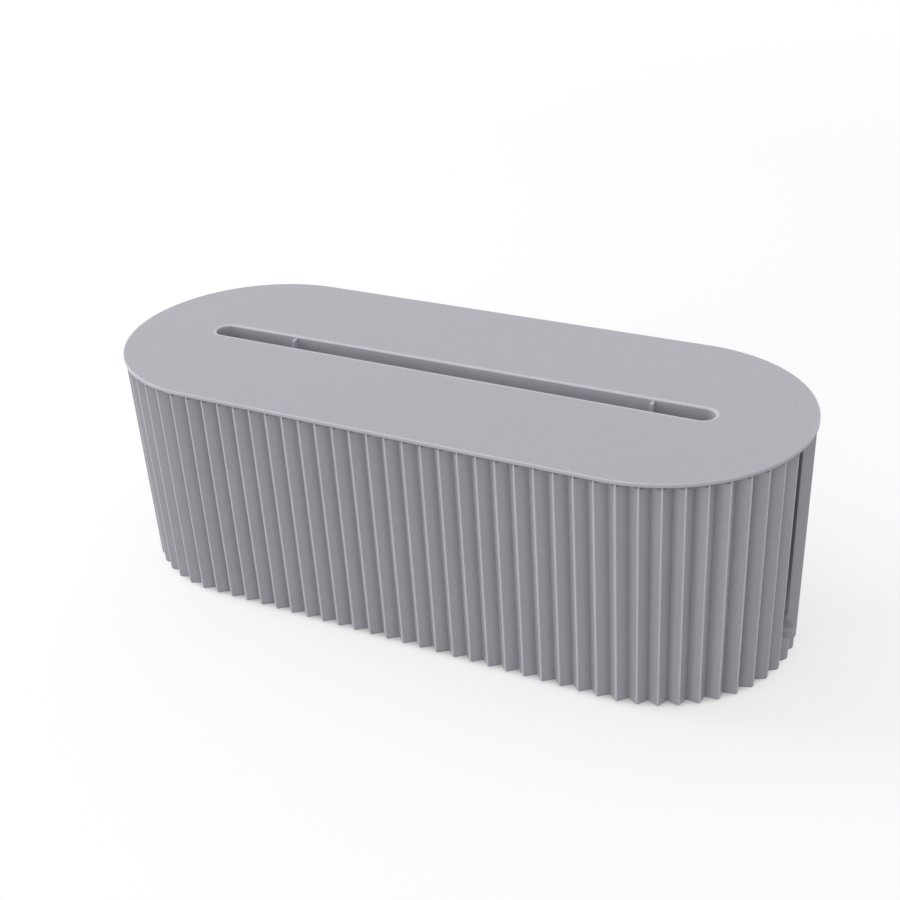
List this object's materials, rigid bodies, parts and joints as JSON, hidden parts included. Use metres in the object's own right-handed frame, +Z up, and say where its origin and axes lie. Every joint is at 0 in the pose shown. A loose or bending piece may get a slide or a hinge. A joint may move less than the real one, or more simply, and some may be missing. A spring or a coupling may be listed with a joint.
{
  "type": "cable management box",
  "caption": "Fluted cable management box with round ends, a lift-off lid with a long slot that holds a phone upright, and a cable notch in each end.",
  "frame": {"origin": "on the table, under the middle of the box", "axes": "+X along the length of the box and of the slot, towards the end nearer the trough; -Y towards the front long side; +Z up"},
  "size_m": [0.3316, 0.1316, 0.1108],
  "materials": {
    "plastic": "fine matt moulded texture, pale cool grey",
    "rubber": "matt, dark grey"
  },
  "bodies": {
    "box_body": {"box": "plastic", "foot_front_left": "rubber", "foot_front_right": "rubber", "foot_rear_left": "rubber", "foot_rear_right": "rubber"},
    "lid_body": {"lid": "plastic"}
  },
  "joints": [
    {"name": "lid_lift", "type": "slide", "parent": "box_body", "child": "lid_body", "axis": [0, 0, 1], "range_m": [0, 0.05]}
  ]
}
